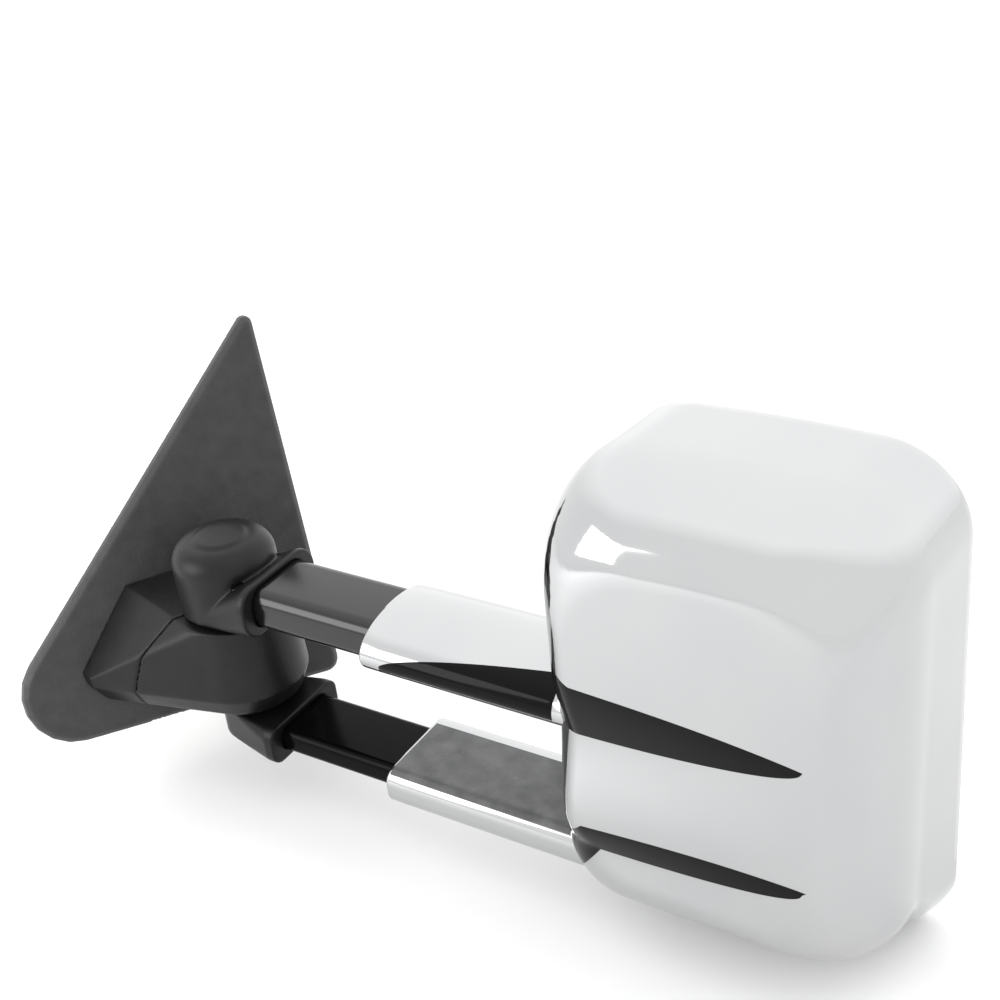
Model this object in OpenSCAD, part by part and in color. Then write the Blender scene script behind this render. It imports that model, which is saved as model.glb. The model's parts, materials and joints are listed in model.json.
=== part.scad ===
// Telescoping folding towing mirror for the left door of a truck.
// +X points inboard to the door, +Y forward, +Z up; the origin is on the door mounting face.

/* [Head] */
// Height of the head at its rim
head_h = 280; // [260:1:300]
// Width of the head at its rim
head_w = 179; // [170:1:185]
// Depth of the head from rim to back
head_d = 106; // [100:1:125]
// Wall thickness of the chrome shell
shell_wall = 2.6; // [2:0.1:3.5]
// Largest angle the glass can be set to, each way
glass_angle = 6; // [3:0.5:6]

/* [Arms] */
// How far the head slides in from its extended place
slide_travel = 80; // [40:1:80]
// Depth of the upper arm tube
upper_tube_d = 47; // [42:0.5:48]
// Height of the upper arm tube
upper_tube_h = 25.4; // [22:0.2:25.4]
// Depth of the lower arm tube
lower_tube_d = 43.4; // [38:0.2:46]
// Height of the lower arm tube
lower_tube_h = 15.3; // [12:0.1:16]
// Wall thickness of both tubes
tube_wall = 1.8; // [1.2:0.1:2.5]

/* [Hinge] */
// Radius of the fold hinge shaft
shaft_r = 6; // [5:0.5:6]
// Radius of the dome over the hinge
dome_r = 30.5; // [29:0.5:33]
// Running clearance of the hinge and pivot pins
running = 0.05; // [0.02:0.01:0.1]

/* [Mounting] */
// Angle of the door face from the mirror's cross line, in plan
door_yaw = 31; // [31:1:31]
// Lean of the door face from upright
door_lean = 19; // [19:1:19]
// Radius of the mounting studs
stud_r = 3; // [2.5:0.5:4]
// Free length of the mounting studs, with the chamfered end
stud_len = 24; // [18:1:30]

/* [Hidden] */
$fn = 64;
eps = 0.05;                        // gap between pieces of one body that touch
// Corner of the sail plate, from the pivot: rear and bottom
plate_corner = [-1.9, -76.9, -87.4];
// Where the origin lies on the bracket rim, along the plate and up it
datum = [85, 70];
rim_height = 12;                   // bracket rim above the plate's edge plane
plate_t = 10;                      // depth of the sail plate
// Directions along the plate, up it, and square to it towards the door
plate_along = [sin(door_yaw), cos(door_yaw), 0];
plate_up = [sin(door_lean) * cos(door_yaw), -sin(door_lean) * sin(door_yaw), cos(door_lean)];
plate_out = [cos(door_lean) * cos(door_yaw), -cos(door_lean) * sin(door_yaw), -sin(door_lean)];
// Fold axis and arm height, from the origin
pivot = -(plate_corner + datum.x * plate_along + datum.y * plate_up + rim_height * plate_out);
skin = 3;                          // its outer skin
// Outlines are [x, y, corner radius]
plate_outline = [[0, 0, 9], [240, 17.5, 32], [-6, 243, 5]];
bracket_outline = [[44, 12, 7], [110, 10, 7], [134, 20, 9], [137, 42, 12], [74, 152, 8],
    [56, 164, 7], [44, 150, 7]];
stud_places = [[55, 130], [124, 26], [62, 28]];
pin_place = [100, 22];
window_lo = [51, 36];
window_size = [32, 62];
// Fold hinge stack, heights from the pivot point
housing_top = 9;
housing_low = -50;
dome_low = 11;
dome_top = 57;
hub_low = 12;
hub_top = 27;
lower_hub = [-79, -56];
bush_r = 9;
chamber_r = 12.5;
ball_r = 3;
ball_z = 12.2;
ball_ring = 14;
seam = 5;                          // part line of the housing, at its top
seam_tilt = 12;
// Arms
upper_z = 25.9;
lower_z = -66.9;
collar_x = -39;
tube_in = -17.5;
tube_out = -300;
sleeve_in = -121;
sleeve_out = -264;
upper_sleeve = [70.4, 34.4];
lower_sleeve = [62, 23];
sleeve_wall = 2.2;
slide_gap = 0.3;
// Head
head_x = -330;
head_z = 27.7;
rim_y = -54;
back_y = rim_y + head_d;
main_c = [head_x, -37, 68.4];
spot_c = [head_x, -37, -65.9];
main_size = [154, 178];
spot_size = [154, 73];
glass_front = -49;
glass_t = 2.2;
pad_t = 0.8;
carrier_t = 2.5;
spine_y = [-29.5, -27];
pin_r = 2;
post_z = [140, 96, -8, -42];
sphere_r = 1200;                   // curve of the wide-angle glass

// ---------- points and shapes ----------
function unit(v) = v / norm(v);
function arc_corner(p, a, b, r, g, n) =
    let (da = unit(a - p), db = unit(b - p), half = acos(da * db) / 2,
         c = p + unit(da + db) * r / sin(half), s = p + da * r / tan(half) - c,
         e = p + db * r / tan(half) - c, a0 = atan2(s.y, s.x), a1 = atan2(e.y, e.x),
         sweep = (a1 - a0 + 540) % 360 - 180)
    [for (i = [0:n]) c + (r + g) * [cos(a0 + sweep * i / n), sin(a0 + sweep * i / n)]];
// A closed outline with rounded corners, grown outwards by g
function outline(q, g = 0, n = 7) =
    [for (i = [0:len(q) - 1]) let (m = len(q), p = q[i], a = q[(i + m - 1) % m], b = q[(i + 1) % m])
        each arc_corner([p.x, p.y], [a.x, a.y], [b.x, b.y], p.z, g, n)];
function box_outline(w, h, r, g = 0, n = 7) =
    outline([[-w / 2, -h / 2, r], [w / 2, -h / 2, r], [w / 2, h / 2, r], [-w / 2, h / 2, r]], g, n);
function oval(w, h, g = 0, n = 56) =
    [for (i = [0:n - 1]) [(w / 2 + g) * cos(360 * i / n), (h / 2 + g) * sin(360 * i / n)]];

// The head's outline in X and Z, shrunk by g: swell goes from 0 at the rim to 1 at the widest
// section, round from 0 there to 1 at the flat of the back
function head_section(swell, round, g) =
    let (w = head_w / 2, left = head_x - w + 33 * round, right = head_x + w - 27.5 * round,
         low = head_z - head_h / 2 + 20.5 * pow(swell, 1.6) + 40 * round,
         high = head_z + head_h / 2 - 41 * round)
    outline([[left + 6 * swell, low, 32], [right - 3.5 + 10 * swell, low, 32],
        [right + 0.5 + 4 * swell, high - 3, 44], [head_x, high, 900],
        [left + 1.5 * swell, high - 3, 44]], -g, 9);
function main_outline(g = 0) = let (w = main_size.x / 2, h = main_size.y / 2)
    outline([[-w + 1.5, -h, 8], [w - 1.5, -h, 8], [w, h - 2, 36], [0, h, 800], [-w, h - 2, 36]], g, 9);
function spot_outline(g = 0) = let (w = spot_size.x / 2, h = spot_size.y / 2)
    outline([[-w + 3.5, -h, 25], [w - 3.5, -h, 25], [w - 1.5, h, 6], [-w + 1.5, h, 6]], g, 9);

module along_x(x0, x1, z, pts)
    translate([x0, 0, z]) rotate([90, 0, 90]) linear_extrude(x1 - x0) polygon(pts);
module slab(y0, y1, pts, c = [0, 0, 0])
    translate([c.x, y1, c.z]) rotate([90, 0, 0]) linear_extrude(y1 - y0) polygon(pts);
module rod_y(x, z, y0, y1, r)
    translate([x, y1, z]) rotate([90, 0, 0]) cylinder(h = y1 - y0, r = r);
module rod_x(x0, x1, y, z, r)
    translate([x0, y, z]) rotate([0, 90, 0]) cylinder(h = x1 - x0, r = r);
module rod(z0, z1, r, x = 0, y = 0)
    translate([x, y, z0]) cylinder(h = z1 - z0, r = r);

// Frames: the pivot point, the plan direction of the door, the plate's own plane
module at_pivot() translate(pivot) children();
module to_door() rotate([0, 0, -door_yaw]) children();
module on_plate() translate(plate_corner) rotate([90 + door_lean, 0, 90 - door_yaw]) children();
module behind_plate(depth)
    on_plate() translate([-150, -150, -depth - 400]) cube([600, 600, 400]);

// ---------- base ----------
module sail_plate() color([0.16, 0.16, 0.17]) at_pivot() on_plate() difference() {
    hull() {
        translate([0, 0, -2]) linear_extrude(2) polygon(outline(plate_outline));
        translate([0, 0, -plate_t + 3]) linear_extrude(0.2) polygon(outline(plate_outline, -0.8));
        translate([0, 0, -plate_t]) linear_extrude(0.2) polygon(outline(plate_outline, -4));
    }
    translate([0, 0, -plate_t + skin]) linear_extrude(plate_t) polygon(outline(bracket_outline, 6));
    translate([window_lo.x, window_lo.y, -plate_t - 1]) cube([window_size.x, window_size.y, plate_t]);
    for (p = screw_places) translate([p.x, p.y, -plate_t - 1]) cylinder(h = plate_t, r = 2.6);
}

// Screws that hold the plate to the bracket
screw_places = [[95, 54], [95, 88], [120, 54]];
rib_ends = [[[44, 70], [118, 70]], [[85, 12], [85, 130]], [[44, 116], [95, 116]], [[46, 40], [136, 40]]];

module bracket_web(z0, z1, t) {
    difference() {
        translate([0, 0, z0]) linear_extrude(z1 - z0) polygon(outline(bracket_outline));
        translate([0, 0, z0 - 1]) linear_extrude(z1 - z0 + 2) polygon(outline(bracket_outline, -t));
    }
    intersection() {
        translate([0, 0, z0]) linear_extrude(z1 - z0) polygon(outline(bracket_outline));
        for (e = rib_ends) let (d = e[1] - e[0])
            translate([e[0].x, e[0].y, z0]) rotate([0, 0, atan2(d.y, d.x)])
                translate([0, -t / 2, 0]) cube([norm(d), t, z1 - z0]);
    }
}

module mount_bracket() color([0.42, 0.42, 0.42]) at_pivot() difference() {
    union() {
        on_plate() {
            bracket_web(-plate_t + skin + eps, rim_height, 3.2);
            translate([0, 0, -plate_t + skin + eps]) linear_extrude(3) polygon(outline(bracket_outline));
            for (p = stud_places) translate([p.x, p.y, -6]) cylinder(h = 6 + rim_height, r = 7);
            for (p = screw_places) translate([p.x, p.y, -6]) cylinder(h = 12, r = 5);
            translate([pin_place.x, pin_place.y, -6]) cylinder(h = 6 + rim_height, r = 6);
        }
        to_door() {
            for (z = [[-4, 5], [-47, -38]]) {
                rod(z[0], z[1], 13);
                intersection() {
                    translate([0, -12, z[0]]) cube([80, 24, z[1] - z[0]]);
                    rotate([0, 0, door_yaw]) behind_plate(4.5);
                }
            }
            intersection() {
                translate([14, -3, -47]) cube([60, 6, 52]);
                rotate([0, 0, door_yaw]) behind_plate(4.5);
            }
        }
    }
    rod(-60, 20, shaft_r + 0.02);
    on_plate() {
        for (p = stud_places) translate([p.x, p.y, -20]) {
            cylinder(h = 40, r = stud_r + 0.7);
            cylinder(h = 18, r = 5.05);
        }
        for (p = screw_places) translate([p.x, p.y, -20]) cylinder(h = 40, r = 2.02);
        translate([pin_place.x, pin_place.y, -20]) cylinder(h = 40, r = 4.02);
    }
}

module door_gasket() color([0.07, 0.07, 0.07]) at_pivot() on_plate() difference() {
    translate([0, 0, eps]) linear_extrude(3) polygon(outline(plate_outline, -3, 9));
    translate([0, 0, -1]) linear_extrude(6) polygon(outline(bracket_outline, 8));
    translate([0, 0, -1]) linear_extrude(6)
        polygon(outline([[16, 16, 6], [196, 31, 18], [12, 198, 6]]));
}

module stud(p) color([0.78, 0.62, 0.25]) at_pivot() on_plate() translate([p.x, p.y, 0]) {
    translate([0, 0, -5]) cylinder(h = 3, r = 5);
    translate([0, 0, -2]) cylinder(h = rim_height + 2, r = stud_r + 0.65);
    translate([0, 0, rim_height]) cylinder(h = stud_len - 0.8, r = stud_r);
    translate([0, 0, rim_height + stud_len - 0.8]) cylinder(h = 0.8, r1 = stud_r, r2 = stud_r - 0.8);
}
module stud_upper() stud(stud_places[0]);
module stud_front() stud(stud_places[1]);
module stud_rear() stud(stud_places[2]);

module locator_pin() color([0.08, 0.08, 0.08]) at_pivot() on_plate()
    translate([pin_place.x, pin_place.y, -4]) {
        cylinder(h = rim_height + 4, r = 4);
        translate([0, 0, rim_height + 4]) cylinder(h = 8, r = 3.4);
        translate([0, 0, rim_height + 12]) cylinder(h = 5, r1 = 3.4, r2 = 1.4);
    }

module bracket_screws() color([0.6, 0.6, 0.62]) at_pivot() on_plate()
    for (p = screw_places) translate([p.x, p.y, 0]) {
        translate([0, 0, -plate_t - 2]) cylinder(h = 2, r = 4);
        translate([0, 0, -plate_t - 0.1]) cylinder(h = plate_t + 4, r = 2);
    }

// Outer form of the hinge housing, shrunk by g: a band round its foot leans in
foot = housing_low + 12;
module housing_form(g) hull() {
    translate([0, 0, foot]) cylinder(h = housing_top - foot - g, r1 = 37 - g, r2 = 34.5 - g);
    rod(housing_low + g, housing_low + g + 1, 32 - g);
    rod(foot, housing_top - g, 4.5 - g, 78, -30.5);
    rod(housing_low + g, foot, 4.5 - g, 78, -26);
    rod(housing_top - 8, housing_top - g, 4.5 - g, 78, 50);
    rod(foot, foot + 6, 4.5 - g, 38, 84);
    rod(foot, foot + 6, 4.5 - g, 78, 92);
    rod(housing_low + g, foot, 4.5 - g, 38, 76);
    rod(housing_low + g, foot, 4.5 - g, 78, 84);
}
// The plate's side of the part line, moved by gap; it leans towards the plate lower down
module plate_side(gap) translate([seam, 0, housing_top]) rotate([0, -seam_tilt, 0])
    translate([gap, -150, -150]) cube([250, 350, 300]);
module housing_shell() difference() {
    housing_form(0);
    housing_form(2.6);
    rod(0, 20, 19.6);
    rod(-60, -40, 12);
}
// Places of the screws that hold the drum cover: across the seam, [along the plate, height]
cover_screws = [[-27, -22], [27, -22]];
// Screw bosses from x0 to x1, each with a web out to the housing wall
module cover_bosses(x0, x1) for (s = cover_screws) {
    rod_x(x0, x1, s[0], s[1], 4.5);
    translate([x0, s[0] > 0 ? s[0] : -60, s[1] - 2]) cube([x1 - x0, 60 - abs(s[0]), 4]);
}

module base_housing() color([0.2, 0.2, 0.21]) at_pivot() difference() {
    intersection() {
        to_door() union() {
            housing_shell();
            cover_bosses(0, 26);
        }
        to_door() housing_form(0);
        to_door() plate_side(0.3);
        behind_plate(plate_t + eps);
    }
    to_door() for (s = cover_screws) rod_x(0, 40, s[0], s[1], 2.1);
}

module hinge_drum_cover() color([0.19, 0.19, 0.2]) at_pivot() to_door() difference() {
    intersection() {
        union() {
            housing_shell();
            cover_bosses(-17, 20);
        }
        housing_form(0);
    }
    plate_side(-0.3);
    for (s = cover_screws) rod_x(-12, 40, s[0], s[1], 2.02);
}

module drum_cover_screws() color([0.35, 0.35, 0.36]) at_pivot() to_door()
    for (s = cover_screws) {
        rod_x(26.05, 29, s[0], s[1], 3.6);
        rod_x(-11, 26.1, s[0], s[1], 2);
    }

module hinge_shaft() color([0.7, 0.7, 0.72]) at_pivot() {
    rod(-81, 52, shaft_r);
    rod(-84.5, -80.9, 10.5);
}

module detent_plate() color([0.5, 0.5, 0.5]) at_pivot() difference() {
    rod(5 + eps, hub_low - 0.5, 19);
    rod(0, 20, shaft_r + 0.02);
    rotate_extrude() translate([ball_ring, ball_z]) circle(r = ball_r + 0.1, $fn = 32);
}

module lower_hinge_spacer() color([0.55, 0.55, 0.5]) at_pivot() difference() {
    rod(lower_hub[1] + 0.3, -47 - eps, 11);
    rod(-70, -30, shaft_r + 0.02);
}

// Helix of the fold hinge spring
spring_mean = 9.2;
spring_wire = 1.4;
spring_turns = 4;
spring_z = [28.8, 40.9];
spring_steps = 20;
module hinge_spring() color([0.45, 0.45, 0.47]) at_pivot() {
    sides = 8;
    rings = spring_turns * spring_steps;
    pts = [for (i = [0:rings], k = [0:sides - 1])
        let (t = 360 * i / spring_steps, a = 360 * k / sides, r = spring_mean + spring_wire * cos(a),
             z = spring_z[0] + (spring_z[1] - spring_z[0]) * i / rings)
        [r * cos(t), r * sin(t), z + spring_wire * sin(a)]];
    walls = [for (i = [0:rings - 1], k = [0:sides - 1])
        let (p = i * sides, q = p + sides, m = (k + 1) % sides) each
        [[p + k, q + k, q + m], [p + k, q + m, p + m]]];
    ends = [[for (k = [0:sides - 1]) k], [for (k = [sides - 1:-1:0]) rings * sides + k]];
    polyhedron(pts, concat(walls, ends));
}

module spring_washer() color([0.6, 0.6, 0.6]) at_pivot() difference() {
    rod(42.5, 44.3, 11.5);
    rod(40, 50, shaft_r + 0.1);
}

module hinge_nut() color([0.65, 0.65, 0.67]) at_pivot() difference() {
    translate([0, 0, 44.4]) cylinder(h = 6, r = 10.4, $fn = 6);
    rod(40, 60, shaft_r + 0.03);
}

// ---------- yoke ----------
// Dome of revolution over the hinge
module dome_form() rotate_extrude() {
    shoulder = 13.5;
    polygon(concat([[0, dome_low], [dome_r, dome_low]],
        [for (a = [0:10:90]) [dome_r - shoulder + shoulder * cos(a), dome_top - 2 - shoulder + shoulder * sin(a)]],
        [[dome_r - shoulder - 3, dome_top - 0.5], [9, dome_top], [0, dome_top]]));
}

// Tube outlines, as depth and height
function upper_tube_outline(g = 0) = box_outline(upper_tube_d, upper_tube_h, 9, g);
function lower_tube_outline(g = 0) = box_outline(lower_tube_d, lower_tube_h, 5, g);

clamp_x = -29;
clamp_y = [-9, 9];

module upper_socket() color([0.15, 0.15, 0.16]) at_pivot() difference() {
    union() {
        dome_form();
        hull() {
            along_x(collar_x, collar_x + 4, upper_z, box_outline(66, 32.5, 13));
            rod(dome_low, dome_low + 2, dome_r - 0.6);
        }
    }
    rod(0, hub_low, 19.5);
    rod(0, 40, bush_r + 0.02);
    rod(hub_top, dome_top - 3, chamber_r);
    along_x(collar_x - 5, tube_in + 0.4, upper_z, upper_tube_outline(0.1));
    for (a = [0:90:270]) rotate([0, 0, a + 45]) translate([ball_ring, 0, ball_z]) sphere(r = ball_r + 0.05);
    for (y = clamp_y) {
        rod(0, 12.1, 3.7, clamp_x, y);
        rod(0, 20, 2.03, clamp_x, y);
    }
}

module lower_socket() color([0.13, 0.13, 0.14]) at_pivot() difference() {
    hull() {
        along_x(collar_x, collar_x + 6, lower_z, box_outline(64, 25, 8));
        rod(lower_hub[0], lower_hub[1], 20);
    }
    rod(-90, -40, bush_r + 0.02);
    rod(lower_hub[1], -40, 12);
    along_x(collar_x - 5, tube_in + 0.4, lower_z, lower_tube_outline(0.1));
    for (y = clamp_y) {
        rod(-90, -76.4, 3.7, clamp_x, y);
        rod(-90, -70, 2.03, clamp_x, y);
    }
}

module detent_balls() color([0.8, 0.8, 0.82]) at_pivot()
    for (a = [0:90:270]) rotate([0, 0, a + 45]) translate([ball_ring, 0, ball_z]) sphere(r = ball_r);

module hinge_bush(z0, z1) difference() {
    rod(z0, z1, bush_r);
    rod(z0 - 1, z1 + 1, shaft_r + running);
}
module upper_hinge_bush() color([0.75, 0.7, 0.55]) at_pivot() hinge_bush(hub_low, hub_top);
module lower_hinge_bush() color([0.75, 0.7, 0.55]) at_pivot() hinge_bush(lower_hub[0], lower_hub[1]);

module upper_arm_tube() color([0.05, 0.05, 0.05]) at_pivot() difference() {
    along_x(tube_out, tube_in, upper_z, upper_tube_outline());
    along_x(tube_out - 1, tube_in + 1, upper_z, upper_tube_outline(-tube_wall));
    for (y = clamp_y) rod(0, upper_z, 2.03, clamp_x, y);
}
module lower_arm_tube() color([0.05, 0.05, 0.05]) at_pivot() difference() {
    along_x(tube_out, tube_in, lower_z, lower_tube_outline());
    along_x(tube_out - 1, tube_in + 1, lower_z, lower_tube_outline(-tube_wall));
    for (y = clamp_y) rod(-90, lower_z, 2.03, clamp_x, y);
}

module arm_clamp_screws() color([0.4, 0.4, 0.42]) at_pivot() for (y = clamp_y) {
    rod(dome_low - 0.2, 12, 3.5, clamp_x, y);
    rod(11.9, 18, 2, clamp_x, y);
    rod(-78.9, -76.5, 3.5, clamp_x, y);
    rod(-76.6, -70, 2, clamp_x, y);
}

module upper_tube_plug() color([0.1, 0.1, 0.1]) at_pivot()
    along_x(tube_out + 0.5, tube_out + 8, upper_z, upper_tube_outline(-tube_wall - eps));
module lower_tube_plug() color([0.1, 0.1, 0.1]) at_pivot()
    along_x(tube_out + 0.5, tube_out + 8, lower_z, lower_tube_outline(-tube_wall - eps));

// ---------- head ----------
// Body of the head, shrunk by g: it swells from the rim and is rounded all over to the back
widest_y = -10;
module head_form(g, extra = 0) hull() {
    slab(rim_y - extra, rim_y + 1, head_section(0, 0, g));
    for (swell = [0.5, 1]) let (y = rim_y + (widest_y - rim_y) * swell)
        slab(y - 1, y, head_section(swell, 0, g));
    for (a = [25, 45, 62, 76, 90]) let (y = widest_y + (back_y - g - widest_y) * sin(a))
        slab(y - 0.6, y, head_section(1, 1 - cos(a), g));
}

module sleeve_form(x0, x1, upper, g)
    along_x(x0, x1, upper ? upper_z : lower_z,
        upper ? oval(upper_sleeve.x, upper_sleeve.y, g) : box_outline(lower_sleeve.x, lower_sleeve.y, 9, g));

module head_shell() color([0.85, 0.86, 0.88]) at_pivot() difference() {
    union() {
        difference() {
            head_form(0);
            head_form(shell_wall, 5);
        }
        intersection() {
            for (z = post_z) rod_y(head_x, z, spine_y[1] + eps, back_y, 5.5);
            head_form(1);
        }
    }
    for (upper = [true, false]) sleeve_form(sleeve_out - 6, -200, upper, 0.1);
    for (z = post_z) rod_y(head_x, z, -40, 0, 2.02);
}

// The rear of each sleeve stops short inside the shell, clear of the glass as it tilts
sleeve_rear_end = -247;
module sleeve(upper) difference() {
    sleeve_form(sleeve_out, sleeve_in, upper, 0);
    sleeve_form(sleeve_out - 1, sleeve_in + 1, upper, -sleeve_wall);
    translate([sleeve_rear_end - 60, -60, -150]) cube([60, 55, 300]);
}
module upper_arm_sleeve() color([0.85, 0.86, 0.88]) at_pivot() sleeve(true);
module lower_arm_sleeve() color([0.85, 0.86, 0.88]) at_pivot() sleeve(false);

module upper_sleeve_bush() color([0.12, 0.12, 0.12]) at_pivot() difference() {
    sleeve_form(sleeve_in - 14, sleeve_in - 1, true, -sleeve_wall - eps);
    along_x(sleeve_in - 20, sleeve_in + 5, upper_z, upper_tube_outline(slide_gap));
}
module lower_sleeve_bush() color([0.12, 0.12, 0.12]) at_pivot() difference() {
    sleeve_form(sleeve_in - 14, sleeve_in - 1, false, -sleeve_wall - eps);
    along_x(sleeve_in - 20, sleeve_in + 5, lower_z, lower_tube_outline(slide_gap));
}

// Ears that carry the upright pins of a glass pivot
ear = [10.2, 14.6];
ear_w = 7;
module frame_ears(c) for (s = [-1, 1]) {
    z0 = c.z + (s > 0 ? ear[0] : -ear[1]);
    translate([c.x - ear_w / 2, c.y - 3.6, z0]) cube([ear_w, spine_y[0] - c.y + 4.6, ear[1] - ear[0]]);
}
guide_x = [-287, -266];
wing_h = 16;
guide_screw_x = -276;
module head_frame() color([0.1, 0.1, 0.1]) at_pivot() difference() {
    union() {
        slab(spine_y[0], spine_y[1], outline([[head_x - 27, -94, 8], [head_x + 27, -94, 8],
            [head_x + 27, 159, 8], [head_x - 27, 159, 8]]));
        for (z = [upper_z, lower_z]) translate([head_x, spine_y[0], z - wing_h / 2])
            cube([guide_x[1] - head_x, spine_y[1] - spine_y[0], wing_h]);
        frame_ears(main_c);
        frame_ears(spot_c);
    }
    for (z = post_z) rod_y(head_x, z, -40, 0, 2.1);
    for (c = [main_c, spot_c]) translate([c.x, c.y, c.z - 20]) cylinder(h = 40, r = pin_r + running);
    for (z = [upper_z, lower_z]) rod_y(guide_screw_x, z, -40, 0, 1.6);
    for (z = [118, 43]) slab(-40, 0, box_outline(34, 20, 5), [head_x, 0, z]);
}

module tube_guide(z, h, d, r) difference() {
    along_x(guide_x[0], guide_x[1], z, box_outline(d, h, r, 3.3));
    along_x(guide_x[0] - 1, guide_x[1] + 1, z, box_outline(d, h, r, slide_gap));
    rod_y(guide_screw_x, z, -40, -d / 2 - 0.8, 1.52);
}
module upper_tube_guide() color([0.14, 0.14, 0.14]) at_pivot()
    tube_guide(upper_z, upper_tube_h, upper_tube_d, 9);
// The lower guide is packed out to the same depth as the upper one, where the frame is
module lower_tube_guide() color([0.14, 0.14, 0.14]) at_pivot() difference() {
    along_x(guide_x[0], guide_x[1], lower_z, box_outline(upper_tube_d + 6.6, lower_tube_h + 6.6, 6));
    along_x(guide_x[0] - 1, guide_x[1] + 1, lower_z, lower_tube_outline(slide_gap));
    rod_y(guide_screw_x, lower_z, -40, -23, 1.52);
}

module guide_screws() color([0.7, 0.7, 0.7]) at_pivot() for (z = [upper_z, lower_z]) {
    rod_y(guide_screw_x, z, spine_y[0] - 1, spine_y[0] - 0.02, 3);
    rod_y(guide_screw_x, z, spine_y[0] - 0.1, -24.6, 1.5);
}

module frame_screws() color([0.7, 0.7, 0.7]) at_pivot() for (z = post_z) {
    rod_y(head_x, z, spine_y[0] - 2.2, spine_y[0] - 0.02, 4);
    rod_y(head_x, z, spine_y[0] - 0.1, -5, 2);
}

window_gap = 2.2;
module glass_bezel() color([0.03, 0.03, 0.03]) at_pivot() difference() {
    intersection() {
        slab(rim_y + 0.4, rim_y + 9, head_section(0, 0, -3));
        head_form(shell_wall + 0.2, 5);
    }
    slab(rim_y - 5, rim_y + 15, main_outline(window_gap), main_c);
    slab(rim_y - 5, rim_y + 15, spot_outline(window_gap), spot_c);
}

// ---------- glass pivots and glass ----------
module pivot_cross(c) translate(c) {
    sphere(r = 5.6);
    rod(-ear[1] + 0.6, ear[1] - 0.6, pin_r);
    rod_x(-ear[1] + 0.6, ear[1] - 0.6, 0, 0, pin_r);
}
module main_pivot() color([0.7, 0.7, 0.7]) at_pivot() pivot_cross(main_c);
module spot_pivot() color([0.7, 0.7, 0.7]) at_pivot() pivot_cross(spot_c);

glass_back = glass_front + glass_t;
carrier_front = glass_back + pad_t;
carrier_back = carrier_front + carrier_t;
module carrier(c, pts, rib_w, rib_h) difference() {
    union() {
        slab(carrier_front + 0.02, carrier_back, pts, c);
        // stiffening ring behind the plate
        difference() {
            slab(carrier_back - 0.1, carrier_back + 2, box_outline(rib_w, rib_h, 8), c);
            slab(carrier_back - 1, carrier_back + 4, box_outline(rib_w - 4, rib_h - 4, 6), c);
        }
        for (s = [-1, 1]) translate([c.x + (s > 0 ? ear[0] : -ear[1]), carrier_back - 0.1, c.z - ear_w / 2])
            cube([ear[1] - ear[0], c.y + 3.6 - carrier_back, ear_w]);
    }
    rod_x(c.x - 20, c.x + 20, c.y, c.z, pin_r + running);
}
module main_glass_carrier() color([0.1, 0.1, 0.1]) at_pivot() carrier(main_c, main_outline(0.6), 96, 130);
module spot_glass_carrier() color([0.1, 0.1, 0.1]) at_pivot() carrier(spot_c, spot_outline(0.6), 90, 48);
module main_glass_pad() color([0.2, 0.2, 0.2]) at_pivot()
    slab(glass_back + 0.02, carrier_front, main_outline(-1), main_c);
module spot_glass_pad() color([0.2, 0.2, 0.2]) at_pivot()
    slab(glass_back + 0.02, carrier_front, spot_outline(-1), spot_c);
module main_glass() color([0.75, 0.78, 0.8]) at_pivot()
    slab(glass_front, glass_back, main_outline(), main_c);
// The wide-angle glass bulges to the rear: a slice off the side of a large ball
bulge = 2.6;
module spot_glass() color([0.72, 0.75, 0.78]) at_pivot() intersection() {
    slab(glass_front - 4, glass_back, spot_outline(), spot_c);
    translate([spot_c.x, glass_front - bulge, spot_c.z]) rotate([-90, 0, 0]) rotate_extrude($fn = 128)
        polygon(concat([for (r = [0:6:96]) [r, sphere_r - sqrt(sphere_r * sphere_r - r * r)]], [[96, 20], [0, 20]]));
}

sail_plate();
mount_bracket();
door_gasket();
stud_upper();
stud_front();
stud_rear();
locator_pin();
base_housing();
hinge_drum_cover();
drum_cover_screws();
bracket_screws();
hinge_shaft();
detent_plate();
lower_hinge_spacer();
hinge_spring();
spring_washer();
hinge_nut();
upper_socket();
lower_socket();
detent_balls();
upper_hinge_bush();
lower_hinge_bush();
upper_arm_tube();
lower_arm_tube();
arm_clamp_screws();
upper_tube_plug();
lower_tube_plug();
head_shell();
upper_arm_sleeve();
lower_arm_sleeve();
upper_sleeve_bush();
lower_sleeve_bush();
head_frame();
upper_tube_guide();
lower_tube_guide();
guide_screws();
frame_screws();
glass_bezel();
main_pivot();
spot_pivot();
main_glass_carrier();
main_glass_pad();
main_glass();
spot_glass_carrier();
spot_glass_pad();
spot_glass();
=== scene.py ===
import json
import math

import bmesh
import bpy
from mathutils import Matrix, Vector


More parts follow.
